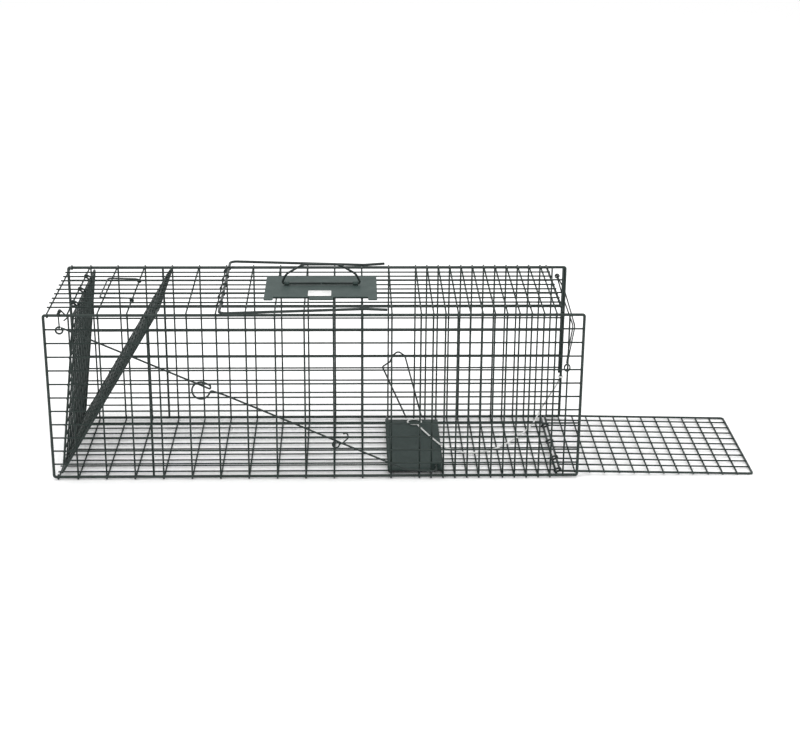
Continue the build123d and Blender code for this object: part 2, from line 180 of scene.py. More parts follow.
def make_stage():
    """A pale floor, an even white surround and three soft lights."""
    material = bpy.data.materials.new("pale_floor")
    material.use_nodes = True
    shader = material.node_tree.nodes["Principled BSDF"]
    shader.inputs["Base Color"].default_value = (0.97, 0.97, 0.97, 1)
    shader.inputs["Roughness"].default_value = 0.9
    shader.inputs["Specular IOR Level"].default_value = 0.1
    mesh = bpy.data.meshes.new("floor")
    reach = 14.0
    corners = [(-reach, -reach, 0), (reach, -reach, 0), (reach, reach, 0), (-reach, reach, 0)]
    mesh.from_pydata(corners, [], [(0, 1, 2, 3)])
    mesh.materials.append(material)
    floor = bpy.data.objects.new("floor", mesh)
    bpy.context.collection.objects.link(floor)
    world = bpy.data.worlds.new("studio")
    world.use_nodes = True
    sky = world.node_tree.nodes["Background"]
    sky.inputs["Color"].default_value = (1, 1, 1, 1)
    sky.inputs["Strength"].default_value = 1.0
    bpy.context.scene.world = world
    bpy.context.scene.view_settings.view_transform = "Standard"
    make_light("key", (-1.6, -2.2, 2.8), (0.1, 0, 0.1), 1.6, 34)
    make_light("fill", (2.4, -1.4, 1.8), (0.2, 0, 0.1), 1.8, 14)
    make_light("top", (0.2, 0.4, 3.2), (0.1, 0, 0), 2.4, 26)


# ---------------------------------------------------------------- materials

def links(tree, *pairs):
    """Connects each pair of an output and an input."""
    for source, target in pairs:
        tree.links.new(source, target)


def node(tree, kind, **values):
    """A new shader node with the given input values or properties."""
    made = tree.nodes.new(kind)
    for name, value in values.items():
        if name in made.inputs:
            made.inputs[name].default_value = value
        else:
            setattr(made, name, value)
    return made


def ramp(tree, source, low, high, low_at, high_at):
    """A colour that goes from low to high while the source goes from low_at to high_at."""
    made = tree.nodes.new("ShaderNodeValToRGB")
    made.color_ramp.elements[0].position = low_at
    made.color_ramp.elements[1].position = high_at
    made.color_ramp.elements[0].color = low
    made.color_ramp.elements[1].color = high
    tree.links.new(source, made.inputs["Fac"])
    return made.outputs["Color"]


def coated_metal(name, dark, light, worn, roughness, coat, grain=900.0):
    """Powder-coated steel: mottled colour, orange-peel bump, uneven gloss and rubbed places."""
    material = bpy.data.materials.new(name)
    material.use_nodes = True
    tree = material.node_tree
    shader = tree.nodes["Principled BSDF"]
    place = node(tree, "ShaderNodeTexCoord").outputs["Object"]
    mottle = node(tree, "ShaderNodeTexNoise", Scale=38.0, Detail=5.0, Roughness=0.6)
    peel = node(tree, "ShaderNodeTexNoise", Scale=grain, Detail=3.0, Roughness=0.55)
    scuff = node(tree, "ShaderNodeTexNoise", Scale=160.0, Detail=6.0, Roughness=0.7)
    links(tree, (place, mottle.inputs["Vector"]), (place, peel.inputs["Vector"]),
          (place, scuff.inputs["Vector"]))
    base = ramp(tree, mottle.outputs["Fac"], dark, light, 0.32, 0.7)
    rubbed = ramp(tree, scuff.outputs["Fac"], (0, 0, 0, 1), (1, 1, 1, 1), 0.66, 0.74)
    mix = node(tree, "ShaderNodeMixRGB")
    mix.inputs["Color2"].default_value = worn
    links(tree, (rubbed, mix.inputs["Fac"]), (base, mix.inputs["Color1"]),
          (mix.outputs["Color"], shader.inputs["Base Color"]))
    gloss = node(tree, "ShaderNodeMapRange")
    gloss.inputs["To Min"].default_value = roughness - 0.08
    gloss.inputs["To Max"].default_value = roughness + 0.12
    links(tree, (scuff.outputs["Fac"], gloss.inputs["Value"]),
          (gloss.outputs["Result"], shader.inputs["Roughness"]))
    bump = node(tree, "ShaderNodeBump", Strength=0.25, Distance=0.0002)
    links(tree, (peel.outputs["Fac"], bump.inputs["Height"]),
          (bump.outputs["Normal"], shader.inputs["Normal"]))
    shader.inputs["Coat Weight"].default_value = coat
    shader.inputs["Coat Roughness"].default_value = 0.25
    shader.inputs["Specular IOR Level"].default_value = 0.3
    return material


def label_film():
    """Blank white label film with faint fibres and a slightly soiled look."""
    material = bpy.data.materials.new("label_film")
    material.use_nodes = True
    tree = material.node_tree
    shader = tree.nodes["Principled BSDF"]
    place = node(tree, "ShaderNodeTexCoord").outputs["Object"]
    fibre = node(tree, "ShaderNodeTexNoise", Scale=700.0, Detail=4.0, Roughness=0.6)
    soil = node(tree, "ShaderNodeTexNoise", Scale=90.0, Detail=3.0, Roughness=0.5)
    links(tree, (place, fibre.inputs["Vector"]), (place, soil.inputs["Vector"]))
    base = ramp(tree, soil.outputs["Fac"], (0.78, 0.79, 0.78, 1), (0.9, 0.9, 0.89, 1), 0.3, 0.65)
    bump = node(tree, "ShaderNodeBump", Strength=0.15, Distance=0.0001)
    links(tree, (base, shader.inputs["Base Color"]), (fibre.outputs["Fac"], bump.inputs["Height"]),
          (bump.outputs["Normal"], shader.inputs["Normal"]))
    shader.inputs["Roughness"].default_value = 0.45
    return material


def braided_string():
    """Light grey string: crossing braid strands in bump, with soft colour changes."""
    material = bpy.data.materials.new("braided_string")
    material.use_nodes = True
    tree = material.node_tree
    shader = tree.nodes["Principled BSDF"]
    place = node(tree, "ShaderNodeTexCoord").outputs["Object"]
    weave = node(tree, "ShaderNodeTexVoronoi", Scale=620.0)
    tone = node(tree, "ShaderNodeTexNoise", Scale=120.0, Detail=4.0)
    links(tree, (place, weave.inputs["Vector"]), (place, tone.inputs["Vector"]))
    base = ramp(tree, tone.outputs["Fac"], (0.5, 0.51, 0.5, 1), (0.75, 0.76, 0.74, 1), 0.3, 0.7)
    bump = node(tree, "ShaderNodeBump", Strength=0.6, Distance=0.0005)
    links(tree, (base, shader.inputs["Base Color"]),
          (weave.outputs["Distance"], bump.inputs["Height"]),
          (bump.outputs["Normal"], shader.inputs["Normal"]))
    shader.inputs["Roughness"].default_value = 0.8
    shader.inputs["Sheen Weight"].default_value = 0.3
    return material


WORN = (0.07, 0.08, 0.075, 1)
PLATE_WORN = (0.1, 0.12, 0.11, 1)
PLATE_GRAIN = 520.0
WIRE = coated_metal("coated_wire", (0.009, 0.017, 0.015, 1), (0.02, 0.032, 0.028, 1), WORN,
                    roughness=0.46, coat=0.06)
DARK_ROD = coated_metal("coated_rod", (0.007, 0.013, 0.012, 1), (0.016, 0.026, 0.023, 1), WORN,
                        roughness=0.42, coat=0.08)
PLATE = coated_metal("coated_plate", (0.026, 0.044, 0.04, 1), (0.042, 0.063, 0.058, 1),
                     PLATE_WORN, roughness=0.55, coat=0.0, grain=PLATE_GRAIN)
TREADLE = coated_metal("coated_treadle", (0.012, 0.025, 0.022, 1), (0.022, 0.038, 0.034, 1),
                       WORN, roughness=0.6, coat=0.0, grain=PLATE_GRAIN)
LABEL = label_film()
STRING = braided_string()


# ---------------------------------------------------------------- mesh tools

def piece(name, mesh, material, body, slot, *nodes):
    """Makes one finished piece of a mesh, on its body, in place of its CAD nodes."""
    mesh.materials.append(material)
    made = bpy.data.objects.new(name, mesh)
    bpy.context.collection.objects.link(made)
    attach(made, body)
    if nodes:
        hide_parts(*nodes)
    return made


def finished(bm, name):
    """The mesh of a bmesh, smooth-shaded, with outward faces."""
    bmesh.ops.recalc_face_normals(bm, faces=bm.faces)
    mesh = bpy.data.meshes.new(name)
    bm.to_mesh(mesh)
    bm.free()
    for polygon in mesh.polygons:
        polygon.use_smooth = True
    return mesh


def rounded_path(points, radius, steps=6):
    """Straight runs with each corner rounded by an arc of up to the given radius."""
    points = [Vector(point) for point in points]
    path = [points[0]]
    for before, corner, after in zip(points, points[1:], points[2:]):
        first = (before - corner).normalized()
        second = (after - corner).normalized()
        half = first.angle(second) / 2
        if abs(half - math.pi / 2) < 0.01:
            path.append(corner)
            continue
        reach = min(radius / math.tan(half), (before - corner).length * 0.45,
                    (after - corner).length * 0.45)
        bend = reach * math.tan(half)
        centre = corner + (first + second).normalized() * (bend / math.sin(half))
        start = corner + first * reach - centre
        end = corner + second * reach - centre
        axis = start.cross(end).normalized()
        for k in range(steps + 1):
            path.append(centre + Quaternion(axis, start.angle(end) * k / steps) @ start)
    path.append(points[-1])
    return path


def tube(bm, path, radius, sides=10, closed=False):
    """A round wire along a path, with flat ends or joined end to end."""
    path = [Vector(point) for point in path]
    count = len(path)
    tangents = []
    for k in range(count):
        if closed:
            tangents.append((path[(k + 1) % count] - path[k - 1]).normalized())
        else:
            low, high = max(k - 1, 0), min(k + 1, count - 1)
            tangents.append((path[high] - path[low]).normalized())
    side = tangents[0].orthogonal().normalized()
    rings = []
    for k, (point, tangent) in enumerate(zip(path, tangents)):
        side = (side - tangent * side.dot(tangent)).normalized()
        other = tangent.cross(side)
        loop = []
        for j in range(sides):
            turn = 2 * math.pi * j / sides
            outward = side * math.cos(turn) + other * math.sin(turn)
            loop.append(bm.verts.new(point + outward * radius))
        rings.append(loop)
    spans = list(zip(rings, rings[1:]))
    if closed:
        spans.append((rings[-1], rings[0]))
    for one, two in spans:
        shift = 0
        if closed and one is rings[-1]:
            shift = min(range(sides), key=lambda s: (one[0].co - two[s].co).length)
        for j in range(sides):
            k = (j + 1) % sides
            bm.faces.new((one[j], one[k], two[(k + shift) % sides], two[(j + shift) % sides]))
    if not closed:
        for loop, flip in ((rings[0], True), (rings[-1], False)):
            inner = []
            centre = sum((v.co for v in loop), Vector()) / sides
            for v in loop:
                inner.append(bm.verts.new(centre + (v.co - centre) * 0.6))
            for j in range(sides):
                bm.faces.new((loop[j], loop[(j + 1) % sides], inner[(j + 1) % sides], inner[j]))
            bm.faces.new(inner[::-1] if flip else inner)


def weld(bm, centre, radius):
    """The small squeezed bead where two welded wires cross."""
    bead = bmesh.ops.create_icosphere(bm, subdivisions=1, radius=radius)
    bmesh.ops.translate(bm, verts=bead["verts"], vec=centre)


def circle_points(centre, radius, across, up, start, end, steps):
    """Points along an arc in the plane of two unit vectors."""
    points = []
    for k in range(steps + 1):
        turn = math.radians(start + (end - start) * k / steps)
        points.append(Vector(centre) + Vector(across) * (radius * math.cos(turn))
                      + Vector(up) * (radius * math.sin(turn)))
    return points


def coil(bm, centre, radius, turns, pitch, wire, steps=16):
    """A short close coil about the Y axis."""
    count = int(turns * steps)
    path = []
    for k in range(count + 1):
        turn = 2 * math.pi * k / steps
        y = (k / count - 0.5) * turns * pitch
        path.append(Vector(centre) + Vector((radius * math.cos(turn), y, radius * math.sin(turn))))
    tube(bm, path, wire, 8)


def wrapped(bm, one, one_r, two, two_r, wire, low_y, turns, pitch, steps=6):
    """A spiral of thin wire that hugs two parallel rods, given by their centres in X and Z."""
    one, two = at(one[0], 0, one[1]), at(two[0], 0, two[1])
    along = math.atan2(two.z - one.z, two.x - one.x)
    belt = []
    for centre, radius, middle in ((two, two_r, along), (one, one_r, along + math.pi)):
        reach = radius + wire
        for k in range(steps + 1):
            turn = middle + math.pi * (k / steps - 0.5)
            belt.append((centre.x + reach * math.cos(turn), centre.z + reach * math.sin(turn)))
    count = len(belt) * turns
    path = []
    for k in range(count + 1):
        x, z = belt[k % len(belt)]
        path.append(Vector((x, at(0, low_y, 0).y + k / len(belt) * pitch * MM, z)))
    tube(bm, path, wire, 7)



# ---------------------------------------------------------------- side walls

def side_wall(name, y, outward, uprights):
    """One welded side wall: a bent border rod, stiff uprights and the mesh inside it."""
    bm = bmesh.new()
    start = ((FRONT_X + REAR_X) / 2, y, BOTTOM_Z)
    corners = [start, (REAR_X, y, BOTTOM_Z), (REAR_X, y, TOP_Z), (FRONT_X, y, TOP_Z),
               (FRONT_X, y, BOTTOM_Z), start]
    tube(bm, rounded_path(corners, 3.2 * MM, 4)[:-1], BORDER_R, 14, closed=True)
    inside = y - outward * STIFFENER_R
    for x, low_z in uprights:
        tube(bm, [(x, inside, low_z), (x, inside, TOP_Z)], STIFFENER_R, 12)
    row_y = y + outward * PANEL_R * SINK
    column_y = y - outward * PANEL_R * SINK
    lap = BORDER_R * 0.5
    heights = [BOTTOM_Z + ROW_PITCH * k for k in range(1, ROWS)]
    for z in heights:
        tube(bm, [(FRONT_X - lap, row_y, z), (REAR_X + lap, row_y, z)], PANEL_R, 8)
    for x in CROSS_X + [DECK_REAR_X + 9.6 * MM]:
        tube(bm, [(x, column_y, BOTTOM_Z - lap), (x, column_y, TOP_Z + lap)], PANEL_R, 8)
        for z in heights:
            weld(bm, (x, y, z), PANEL_R * BEAD)
    piece(f"{name}_wall", finished(bm, name), WIRE, "cage", "wire", f"{name}_frame", f"{name}_mesh")


# ---------------------------------------------------------------- floor and roof

def deck(name, cross_z, long_z, rod_z, node_name):
    """Floor or roof: cross wires whose ends hook round the side walls' border rods."""
    bm = bmesh.new()
    wrap = BORDER_R + 1.13 * MM
    inward = 1 if rod_z > cross_z else -1
    for x in DECK_X:
        near = circle_points((x, NEAR_Y, rod_z), wrap, -Y, Z * inward, -90, 140, 12)
        far = circle_points((x, FAR_Y, rod_z), wrap, Y, Z * inward, -90, 140, 12)
        tube(bm, near[::-1] + far, WIRE_R, 8)
    for k in range(1, LANES):
        y = NEAR_Y + LANE_PITCH * k
        tube(bm, [(DECK_X[0] - 4 * MM, y, long_z), (DECK_REAR_X, y, long_z)], WIRE_R, 8)
        for x in DECK_X:
            weld(bm, (x, y, (cross_z + long_z) / 2), WIRE_R * 1.1)
    piece(name, finished(bm, name), WIRE, "cage", "wire", node_name)


def end_rod(name):
    """The round rod across the rear edge of a deck, with welds where the wires end on it."""
    low, high = (Vector(corner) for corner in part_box(name))
    centre = (low + high) / 2
    bm = bmesh.new()
    tube(bm, [(centre.x, low.y, centre.z), (centre.x, high.y, centre.z)], END_ROD_R, 14)
    up = 1 if centre.z > 0.1 else -1
    for k in range(1, LANES):
        weld(bm, (centre.x, NEAR_Y + LANE_PITCH * k, centre.z + up * END_ROD_R * 0.9), 1.1 * MM)
    piece(f"{name}_bar", finished(bm, name), DARK_ROD, "cage", "wire", name)


# ---------------------------------------------------------------- doors

class Leaf:
    """A flat welded door seen as distances along it, across it and out of its face."""

    def __init__(self, hinge, slope, direction):
        self.hinge = at(hinge[0], 0, hinge[1])
        turn = math.radians(slope)
        self.along = Vector((direction * math.cos(turn), 0, -math.sin(turn)))
        self.out = Vector((-self.along.z, 0, self.along.x))

    def point(self, along, y, out=0.0):
        """A place on the door, with Y given in the frame's own axes."""
        place = self.hinge + self.along * along + self.out * out
        return Vector((place.x, y, place.z))

    def build(self, name, length, lanes, rows):
        """The door's frame, its wires along and across it, and their welds."""
        bm = bmesh.new()
        low, high = NEAR_Y + 7.5 * MM, FAR_Y - 7.5 * MM
        middle = (low + high) / 2
        border = [self.point(length, middle), self.point(length, high), self.point(0, high),
                  self.point(0, low), self.point(length, low), self.point(length, middle)]
        tube(bm, rounded_path(border, 5 * MM)[:-1], DOOR_ROD_R, 14, closed=True)
        offset = PANEL_R * SINK
        lap = DOOR_ROD_R * 0.4
        lines = [low + (high - low) * k / lanes for k in range(1, lanes)]
        for y in lines:
            tube(bm, [self.point(-lap, y, offset), self.point(length + lap, y, offset)],
                 PANEL_R, 8)
        for distance in rows:
            tube(bm, [self.point(distance, low - lap, -offset),
                      self.point(distance, high + lap, -offset)], PANEL_R, 8)
            for y in lines:
                weld(bm, self.point(distance, y), PANEL_R * BEAD)
        piece(name, finished(bm, name), WIRE, name, "door_wire", f"{name}_frame", f"{name}_mesh")


def hinge_coils(name, fixed, fixed_r, moving, moving_r, lanes, turns=3, pitch=2.1):
    """Spirals of thin wire that tie a hinged rod to a fixed wire."""
    bm = bmesh.new()
    for lane in lanes:
        low_y = lane - turns * pitch / 2
        wrapped(bm, fixed, fixed_r, moving, moving_r, RING_R, low_y, turns, pitch)
    piece(f"{name}_coils", finished(bm, name), DARK_ROD, "cage", "wire", name)


# ---------------------------------------------------------------- bails and handle

def wire_piece(name, paths, radius, material, body, slot, *nodes, sides=14):
    """One piece made of bent wires."""
    bm = bmesh.new()
    for path in paths:
        tube(bm, path, radius, sides)
    return piece(name, finished(bm, name), material, body, slot, *nodes)


def top_bail():
    """A wide U with rounded corners and flared tips."""
    x, z = TOP_BAIL_BAR
    points = [at(586, -2, z), at(548, 2.7, z), at(x, -20.6, z), at(x, W + 5.6, z),
              at(548, W - 17.5, z), at(586, W - 9.5, z)]
    path = rounded_path(points, 11 * MM, 8)
    wire_piece("top_bail_wire", [path], TOP_BAIL_R, DARK_ROD, "top_bail", "rod_wire",
               "top_bail")


def front_bail():
    """A small U whose ends curl round a roof wire."""
    z = FRONT_BAIL_Z
    near, far = FRONT_BAIL_LANES
    curls = []
    for lane in FRONT_BAIL_LANES:
        centre = at(FRONT_BAIL_PIN_X, lane, ROOF_WIRE_Z)
        curls.append(circle_points(centre, WIRE_R + 1.3 * MM, X, Z, 80, -250, 18))
    arms = [curls[0][0], at(136, near, z - 1.2), at(87, near, z), at(87, far, z),
            at(136, far, z - 1.2), curls[1][0]]
    path = curls[0][::-1] + rounded_path(arms, 6 * MM)[1:-1] + curls[1]
    wire_piece("front_bail_wire", [path], WIRE_R, DARK_ROD, "front_bail", "rod_wire", "front_bail",
               sides=10)


def sheet_outline(bm, outline, low_z, high_z, bevel=0.4 * MM):
    """A flat sheet with softened edges from its outline, given counterclockwise in mm."""
    bottom = [bm.verts.new(at(x, y, low_z)) for x, y in outline]
    face = bm.faces.new(bottom)
    made = bmesh.ops.extrude_face_region(bm, geom=[face])
    lifted = [g for g in made["geom"] if isinstance(g, bmesh.types.BMVert)]
    bmesh.ops.translate(bm, verts=lifted, vec=(0, 0, (high_z - low_z) * MM))
    bmesh.ops.bevel(bm, geom=bm.edges[:], offset=bevel, segments=2, affect="EDGES")


def rounded_outline(points, radius, steps=4):
    """An outline with its corners rounded."""
    closed = [Vector((x, y, 0)) for x, y in points]
    start = (closed[0] + closed[-1]) / 2
    path = rounded_path([start] + closed + [start], radius, steps)
    return [(p.x, p.y) for p in path[:-1]]


def flat_piece(name, outline, low_z, high_z, material, body, slot, *nodes):
    """A piece made of one flat sheet, with flat shading."""
    bm = bmesh.new()
    sheet_outline(bm, outline, low_z, high_z)
    mesh = finished(bm, name)
    for polygon in mesh.polygons:
        polygon.use_smooth = False
    return piece(name, mesh, material, body, slot, *nodes)


def handle():
    """The carrying plate, its blank label, two short sleeves and the wire grip."""
    outline = [(372, 56), (388, 56), (388, 72), (451, 72), (451, 57), (493, 57), (493, 72),
               (554, 72), (554, 56), (570, 56), (570, 192), (372, 192)]
    flat_piece("carrying_plate", rounded_outline(outline, 2.5), PLATE_LOW_Z, PLATE_TOP_Z, PLATE,
               "cage", "handle_plate", "handle_plate")
    label = [(448.6, 77.2), (489.4, 77.2), (489.4, 106.8), (448.6, 106.8)]
    bm = bmesh.new()
    sheet_outline(bm, rounded_outline(label, 1.6), PLATE_TOP_Z + 0.06, PLATE_TOP_Z + 0.34,
                  bevel=0.06 * MM)
    piece("blank_label", finished(bm, "blank_label"), LABEL, "cage", "label", "handle_label")
    low = GRIP_AXIS_Z
    bm = bmesh.new()
    for x in SLEEVE_X:
        for edge in (-SLEEVE_HALF, SLEEVE_HALF):
            ring = circle_points(at(x + edge, GRIP_Y, low), 2.73 * MM, Y, Z, 0, 360, 24)[:-1]
            tube(bm, ring, 0.62 * MM, 8, closed=True)
        sleeve_wall(bm, at(x, GRIP_Y, low), SLEEVE_HALF * MM)
    piece("handle_straps", finished(bm, "handle_straps"), PLATE, "cage", "rod_wire", "handle_lugs")
    top = low + 35
    profile = [(470.6, low), (401, low), (408, low + 17), (439, top),
               (503, top), (534, low + 17), (541, low), (471.4, low)]
    points = [at(x, GRIP_Y, z) for x, z in profile]
    path = [points[0]] + rounded_path(points[:3], 3 * MM, 5)[1:-1]
    path += rounded_path(points[1:7], 24 * MM, 9)[1:-1]
    path += rounded_path(points[5:], 3 * MM, 5)[1:-1] + [points[-1]]
    wire_piece("handle_grip", [path], GRIP_R, DARK_ROD, "handle_bail", "rod_wire", "handle_bail",
               sides=16)


def sleeve_wall(bm, centre, half, inner=2.12 * MM, outer=3.35 * MM, sides=24):
    """A short tube wall along X."""
    rings = []
    for x, radius in ((-half, inner), (-half, outer), (half, outer), (half, inner)):
        loop = []
        for k in range(sides):
            turn = 2 * math.pi * k / sides
            place = Vector((x, radius * math.cos(turn), radius * math.sin(turn)))
            loop.append(bm.verts.new(centre + place))
        rings.append(loop)
    for one, two in zip(rings, rings[1:] + rings[:1]):
        for k in range(sides):
            bm.faces.new((one[k], one[(k + 1) % sides], two[(k + 1) % sides], two[k]))


# ---------------------------------------------------------------- treadle and trigger

def treadle():
    """The treadle: one sheet rolled round its axle, an ear with a hole, and the axle."""
    x, z = TREADLE_HINGE
    near, far = TREADLE_Y
    section = []
    for k in range(19):
        turn = math.radians(250 - 270 * k / 18)
        section.append((x + ROLL_REACH * math.cos(turn), z + ROLL_REACH * math.sin(turn)))
    section = [(a, b) for a, b in section if a < x + 2.7]
    sheet = [(x + 5.5, z + 0.3), (x + 8, z)] + [(x + 8 + 11.1 * k, z) for k in range(1, 9)]
    bm = bmesh.new()
    rows = []
    for y in [near + (far - near) * k / 16 for k in range(17)]:
        rows.append([at(a, y, b) for a, b in section + sheet])
    strip_sheet(bm, rows, TREADLE_HALF * MM * 0.92)
    piece("treadle_sheet", finished(bm, "treadle_sheet"), TREADLE, "pedal", "treadle",
          "pedal_plate")
    bm = bmesh.new()
    ear_hole(bm, at(ROD_END[0], near, ROD_END[1]))
    piece("treadle_ear", finished(bm, "treadle_ear"), TREADLE, "pedal", "treadle")
    wire_piece("treadle_axle", [[at(x, 8, z), at(x, W - 8, z)]], AXLE_R, DARK_ROD, "cage",
               "wire", "pedal_axle", sides=20)


def strip_sheet(bm, rows, half):
    """A bent sheet of even thickness from rows of points along its middle."""
    top, bottom = [], []
    for row in rows:
        ups, downs = [], []
        for k, point in enumerate(row):
            low, high = max(k - 1, 0), min(k + 1, len(row) - 1)
            along = (row[high] - row[low]).normalized()
            normal = along.cross(Y).normalized()
            ups.append(bm.verts.new(point + normal * half))
            downs.append(bm.verts.new(point - normal * half))
        top.append(ups)
        bottom.append(downs)
    count = len(rows[0])
    for i in range(len(rows) - 1):
        for k in range(count - 1):
            bm.faces.new((top[i][k], top[i + 1][k], top[i + 1][k + 1], top[i][k + 1]))
            bm.faces.new((bottom[i][k], bottom[i][k + 1], bottom[i + 1][k + 1], bottom[i + 1][k]))
        bm.faces.new((top[i][0], bottom[i][0], bottom[i + 1][0], top[i + 1][0]))
        bm.faces.new((top[i][-1], top[i + 1][-1], bottom[i + 1][-1], bottom[i][-1]))
    for k in range(count - 1):
        bm.faces.new((top[0][k], top[0][k + 1], bottom[0][k + 1], bottom[0][k]))
        bm.faces.new((top[-1][k], bottom[-1][k], bottom[-1][k + 1], top[-1][k + 1]))


def ear_hole(bm, centre, hole=2.6 * MM, thick=1.5 * MM, sides=32):
    """An upright rectangular ear with a round hole, standing on the treadle."""
    half_width, top, foot = 8.0 * MM, 4.5 * MM, -8.5 * MM
    rings = []
    for y in (0.0, thick):
        inner, outer = [], []
        for k in range(sides):
            turn = 2 * math.pi * (k + 0.5) / sides
            c, s = math.cos(turn), math.sin(turn)
            height = top if s > 0 else -foot
            reach = min(half_width / max(abs(c), 1e-6), height / max(abs(s), 1e-6))
            inner.append(bm.verts.new(centre + Vector((hole * c, y, hole * s))))
            outer.append(bm.verts.new(centre + Vector((reach * c, y, reach * s))))
        rings.append((inner, outer))
    (front_in, front_out), (back_in, back_out) = rings
    for k in range(sides):
        j = (k + 1) % sides
        bm.faces.new((front_in[k], front_in[j], front_out[j], front_out[k]))
        bm.faces.new((back_in[k], back_out[k], back_out[j], back_in[j]))
        bm.faces.new((front_in[k], back_in[k], back_in[j], front_in[j]))
        bm.faces.new((front_out[k], front_out[j], back_out[j], back_out[k]))


def rod_line(x):
    """Height in mm of the trigger rod's straight part."""
    share = (x - ROD_START[0]) / (ROD_KNEE[0] - ROD_START[0])
    return ROD_START[1] + share * (ROD_KNEE[1] - ROD_START[1])


def trigger_rod():
    """One long wire: an eye, a finger loop, a small loop with a hook and the turned-in end."""
    y = ROD_Y
    front = y - 3.05
    eye = circle_points(at(ROD_EYE[0], y, ROD_EYE[1]), 6 * MM, X, Z, 66, 426, 26)
    path = [at(29.2, y + 1.5, 287.2)] + eye[1:-1]
    path += [at(x, y, rod_line(x)) for x in (38, 120, 200, 262)]
    turn_back = [at(262, y, rod_line(262)), at(281.5, y, rod_line(281.5)), at(280.5, y - 1, 181.5),
                 at(271.7, y - 1.6, 186.1)]
    path += rounded_path(turn_back, 2.5 * MM)[1:-1]
    ring = circle_points(at(FINGER_LOOP[0], front, FINGER_LOOP[1]), 15.4 * MM, X, Z, 62, 343, 26)
    for k, point in enumerate(ring):
        point.y += max(1.45 - 0.4 * k, 0.15 * (k - 20), 0) * MM
    path += ring
    path += rounded_path([ring[-1], at(282.5, y - 2, 171.8), at(306, y, rod_line(306))], 3 * MM)[1:]
    end_x, end_z = ROD_END
    corners = [at(306, y, rod_line(306)), at(ROD_KNEE[0], y, ROD_KNEE[1]), at(end_x, y, end_z),
               at(end_x, 20, end_z)]
    knee = rounded_path(corners, 9 * MM, 6)
    wire_piece("trigger_wire", [path + knee[1:]], ROD_R, DARK_ROD, "trigger_rod", "rod_wire",
               "trigger_rod", "trigger_rod_eye", "trigger_finger_loop", sides=12)
    front = y - 3.0
    bm = bmesh.new()
    turns = []
    for k in range(37):
        turn = math.radians(90 - 20 * k)
        outward = X * math.cos(turn) + Z * math.sin(turn)
        centre = at(SMALL_LOOP[0], front + 0.9 * (1 - k / 18), SMALL_LOOP[1])
        turns.append(centre + outward * (6.4 * MM - k / 36 * 0.8 * MM))
    tail = [at(504.3, front - 0.9, 71.5), at(508.5, front - 0.5, 73.2), at(519.2, front - 0.2, 83),
            at(516.2, front, 93), at(509.8, front, 90.6)]
    tube(bm, turns, HOOK_R, 10)
    tube(bm, rounded_path(tail, 4.5 * MM), HOOK_R, 10)
    piece("trigger_hook", finished(bm, "trigger_hook"), DARK_ROD, "trigger_rod", "rod_wire",
          "trigger_small_loop")


def front_catch():
    """The catch wire with a close coil round its axle, and its two eyelets."""
    x, z = CATCH_PIVOT
    points = [at(27.5, -11.4, 285.2), at(27.5, -5.4, 285.2), at(x, -5.4, z), at(x, 16, z),
              at(39.2, 16, 297), at(32, 16, 290.7)]
    bm = bmesh.new()
    tube(bm, rounded_path(points, 2.4 * MM, 6), CATCH_R, 12)
    coil(bm, at(x, 8.5, z), 2.2 * MM, 4, 2.2 * MM, 1.0 * MM, 14)
    piece("catch_wire", finished(bm, "catch_wire"), DARK_ROD, "catch", "rod_wire", "catch")
    bm = bmesh.new()
    for lane in (-3.5, 3.5):
        centre = at(x, lane, z)
        tube(bm, circle_points(centre, 2.0 * MM, X, Z, 0, 360, 20)[:-1], 0.8 * MM, 8, closed=True)
    piece("catch_rings", finished(bm, "catch_rings"), DARK_ROD, "cage", "wire", "catch_eyelets")


def rear_latch():
    """The latch: a hairpin of two wires that meet at a bend and end in a ring."""
    y = LATCH_Y
    x, z = LATCH_PIVOT
    eye = circle_points(at(x, y, z), 3.6 * MM, X, Z, -60, 300, 22)
    outer = [eye[-1], at(x + 14.8, y, z - 27), at(x + 38.2, y, z - 100), at(x + 31, y, z - 148),
             at(x + 27.4, y, z - 175)]
    outer = rounded_path(outer, 20 * MM, 6)
    inner = [at(x + 1.2, y, z - 5), at(x + 12.2, y, z - 40), at(x + 34.6, y, z - 99),
             at(x + 28, y, z - 148), at(x + 25.4, y, z - 175)]
    inner = rounded_path(inner, 20 * MM, 6)
    wire_piece("latch_wire", [eye + outer[1:], inner], LATCH_R, DARK_ROD, "rear_latch",
               "rod_wire", "rear_latch", sides=10)
    bm = bmesh.new()
    turns = []
    for k in range(45):
        turn = math.radians(90 + 18 * k)
        turns.append(at(x + 27, y + 1.2 * (k / 22 - 1), z - 184.3)
                     + X * (5.4 * MM * math.cos(turn)) + Z * (6.9 * MM * math.sin(turn)))
    tube(bm, turns, HOOK_R, 10)
    piece("latch_pull_ring", finished(bm, "latch_pull_ring"), DARK_ROD, "rear_latch", "rod_wire",
          "latch_ring")
    low, high = (Vector(corner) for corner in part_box("latch_pin"))
    middle = (low + high) / 2
    pin = [(middle.x, low.y, middle.z), (middle.x, high.y, middle.z)]
    wire_piece("latch_stub", [pin], END_ROD_R, DARK_ROD, "cage", "wire", "latch_pin")


